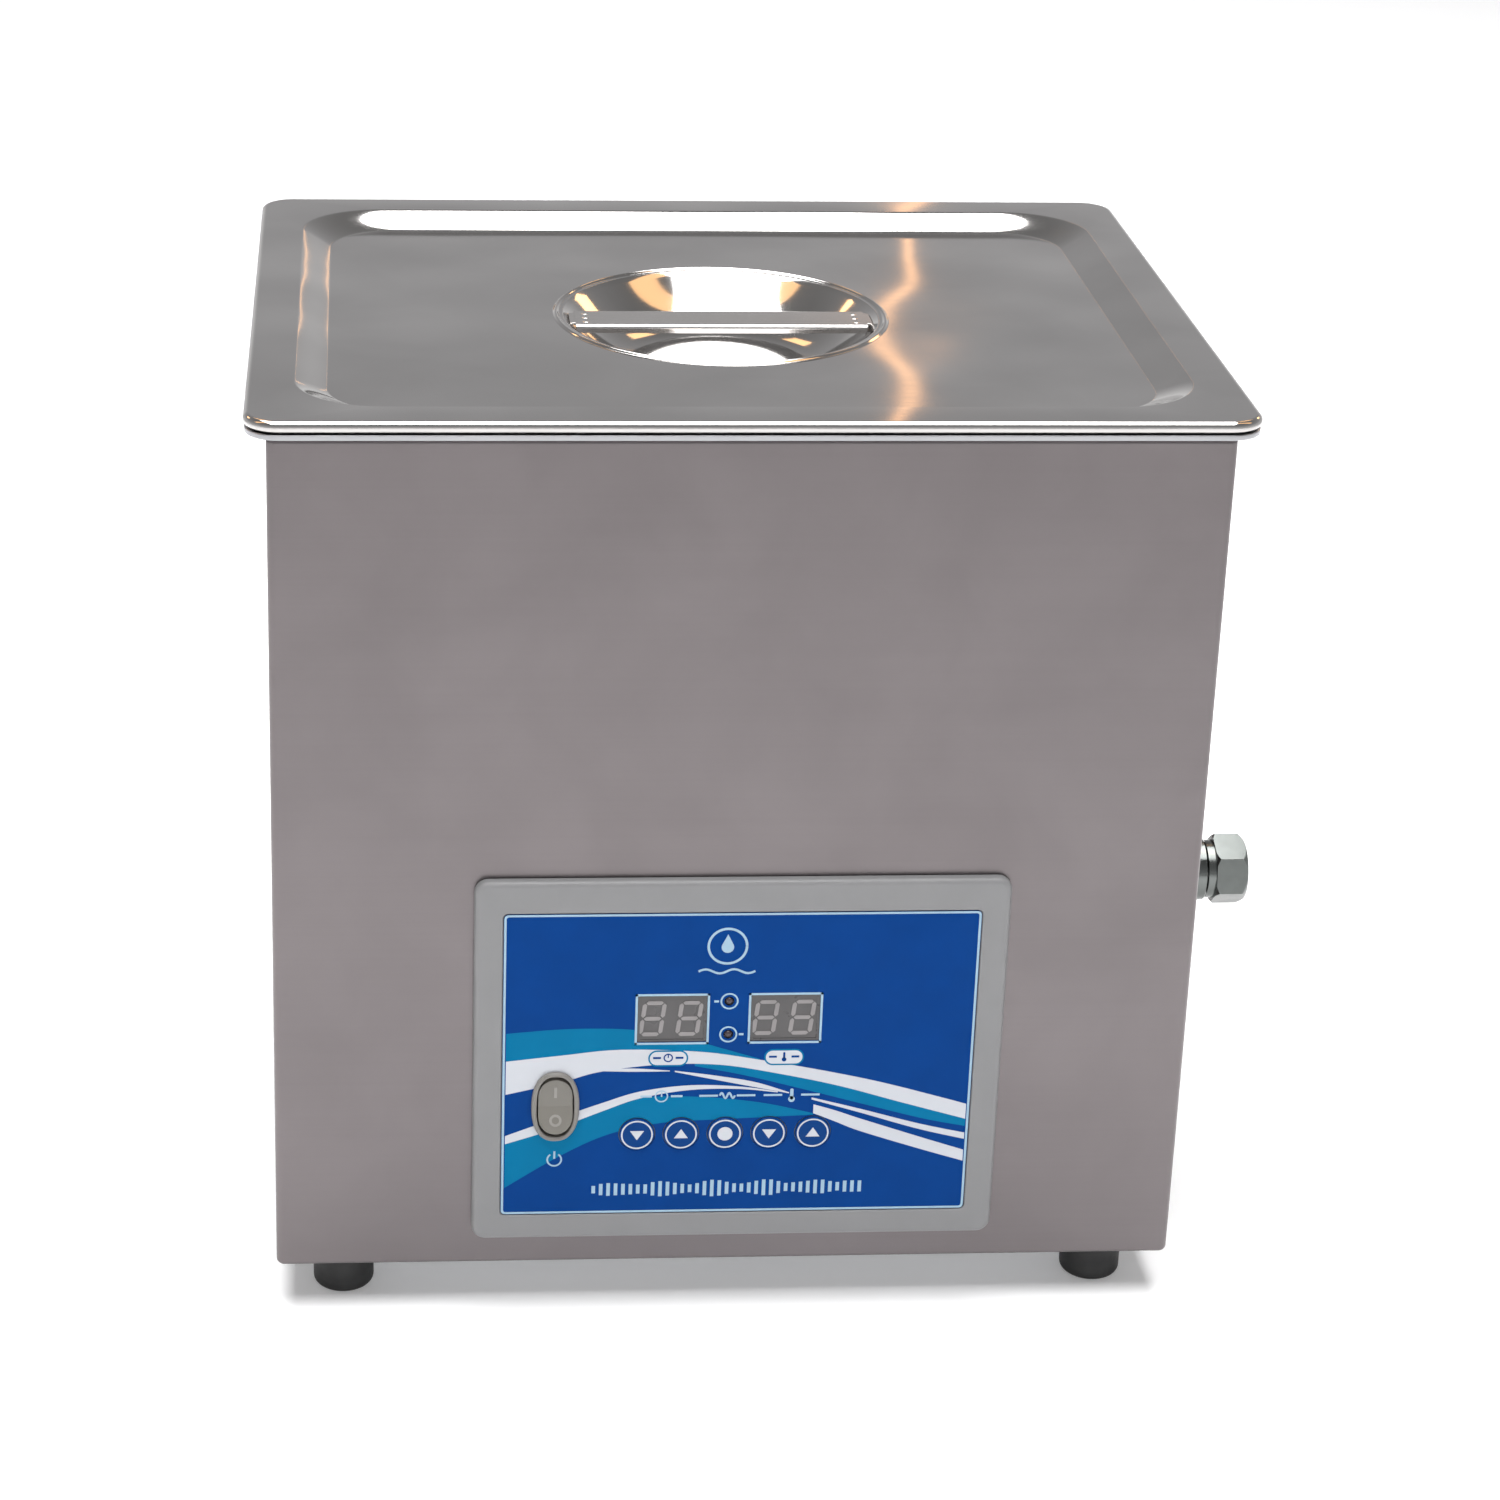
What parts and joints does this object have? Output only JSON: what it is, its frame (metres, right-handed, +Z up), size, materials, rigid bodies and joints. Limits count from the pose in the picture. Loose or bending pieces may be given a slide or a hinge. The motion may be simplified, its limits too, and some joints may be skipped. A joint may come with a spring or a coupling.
{
  "type": "ultrasonic cleaner",
  "caption": "Bench ultrasonic cleaner: square steel case on rubber feet, lift-off lid with a dished grip bar, blue control panel and side drain valve.",
  "frame": {"origin": "centre of the footprint of the whole object, drain valve included, on the surface it stands on", "axes": "+Z up, front panel towards -Y, drain valve towards +X"},
  "size_m": [0.3772, 0.283, 0.341],
  "materials": {
    "brushed_steel": "brushed stainless sheet, satin grain",
    "polished_steel": "bright pressed stainless sheet",
    "zinc_steel": "zinc-plated steel, satin",
    "nickel": "nickel-plated brass, polished",
    "aluminium": "machined, satin",
    "bezel_plastic": "grey moulded plastic, fine texture",
    "switch_plastic": "warm grey moulded plastic",
    "overlay_film": "printed blue polyester film, satin gloss",
    "button_film": "printed blue polyester film, satin gloss",
    "display_window": "smoked window with pale segments",
    "led_lens": "tinted clear lens",
    "black_plastic": "black moulded plastic",
    "black_rubber": "black rubber, matt",
    "silicone": "dark silicone rubber",
    "circuit_board": "green solder mask with components",
    "ceramic": "piezo ceramic with electrodes",
    "heater_film": "orange silicone heating pad",
    "winding": "lacquered copper winding",
    "lever_vinyl": "red dipped vinyl on a steel lever",
    "fuse_glass": "glass fuse with nickel caps"
  },
  "bodies": {
    "housing": {"outer_case": "brushed_steel", "base_plate": "zinc_steel", "tank": "polished_steel", "tank_gasket": "silicone", "panel_bezel": "bezel_plastic", "panel_overlay": "overlay_film", "timer_display": "display_window", "temperature_display": "display_window", "timer_led": "led_lens", "heater_led": "led_lens", "switch_housing": "switch_plastic", "control_board": "circuit_board", "generator_board": "circuit_board", "output_transformer": "winding", "heatsink": "aluminium", "heater_front": "heater_film", "heater_rear": "heater_film", "temperature_probe": "zinc_steel", "fan_frame": "black_plastic", "fan_guard": "nickel", "drain_hose": "silicone", "drain_fitting": "nickel", "drain_locknut": "nickel", "valve_body": "nickel", "power_inlet": "black_plastic", "foot_1": "black_rubber", "foot_screw_1": "zinc_steel", "transducer_front_mass_1": "aluminium", "transducer_piezo_stack_1": "ceramic", "transducer_back_mass_1": "zinc_steel", "foot_2": "black_rubber", "foot_screw_2": "zinc_steel", "transducer_front_mass_2": "aluminium", "transducer_piezo_stack_2": "ceramic", "transducer_back_mass_2": "zinc_steel", "foot_3": "black_rubber", "foot_screw_3": "zinc_steel", "transducer_front_mass_3": "aluminium", "transducer_piezo_stack_3": "ceramic", "transducer_back_mass_3": "zinc_steel", "foot_4": "black_rubber", "foot_screw_4": "zinc_steel", "transducer_front_mass_4": "aluminium", "transducer_piezo_stack_4": "ceramic", "transducer_back_mass_4": "zinc_steel"},
    "lid": {"lid": "polished_steel", "lid_handle_bar": "polished_steel"},
    "switch_rocker": {"switch_rocker": "switch_plastic"},
    "valve_handle": {"valve_ball": "nickel", "valve_stem": "nickel", "valve_lever": "lever_vinyl", "valve_lever_nut": "zinc_steel"},
    "fan_rotor": {"fan_rotor": "black_plastic"},
    "fuse_drawer": {"fuse_drawer": "black_plastic", "fuse": "fuse_glass"},
    "button_time_down": {"button_time_down": "button_film"},
    "button_time_up": {"button_time_up": "button_film"},
    "button_start": {"button_start": "button_film"},
    "button_heat_down": {"button_heat_down": "button_film"},
    "button_heat_up": {"button_heat_up": "button_film"}
  },
  "joints": [
    {"name": "lid_lift", "type": "slide", "parent": "housing", "child": "lid", "axis": [0, 0, 1], "range_m": [0, 0.18]},
    {"name": "rocker_tip", "type": "hinge", "parent": "housing", "child": "switch_rocker", "pos_m": [-0.08185, -0.134, 0.0843], "axis": [1, 0, 0], "range_deg": [0, 18]},
    {"name": "valve_turn", "type": "hinge", "parent": "housing", "child": "valve_handle", "pos_m": [0.16185, -0.02, 0.1196], "axis": [0, 0, -1], "range_deg": [0, 90]},
    {"name": "fan_spin", "type": "hinge", "parent": "housing", "child": "fan_rotor", "pos_m": [-0.08865, 0.119, 0.1], "axis": [0, 1, 0], "continuous": true},
    {"name": "fuse_drawer_pull", "type": "slide", "parent": "housing", "child": "fuse_drawer", "axis": [0, 1, 0], "range_m": [0, 0.012]},
    {"name": "button_time_down_press", "type": "slide", "parent": "housing", "child": "button_time_down", "axis": [0, 1, 0], "range_m": [0, 0.0004], "stiffness_N_per_m": 900},
    {"name": "button_time_up_press", "type": "slide", "parent": "housing", "child": "button_time_up", "axis": [0, 1, 0], "range_m": [0, 0.0004], "stiffness_N_per_m": 900},
    {"name": "button_start_press", "type": "slide", "parent": "housing", "child": "button_start", "axis": [0, 1, 0], "range_m": [0, 0.0004], "stiffness_N_per_m": 900},
    {"name": "button_heat_down_press", "type": "slide", "parent": "housing", "child": "button_heat_down", "axis": [0, 1, 0], "range_m": [0, 0.0004], "stiffness_N_per_m": 900},
    {"name": "button_heat_up_press", "type": "slide", "parent": "housing", "child": "button_heat_up", "axis": [0, 1, 0], "range_m": [0, 0.0004], "stiffness_N_per_m": 900}
  ]
}
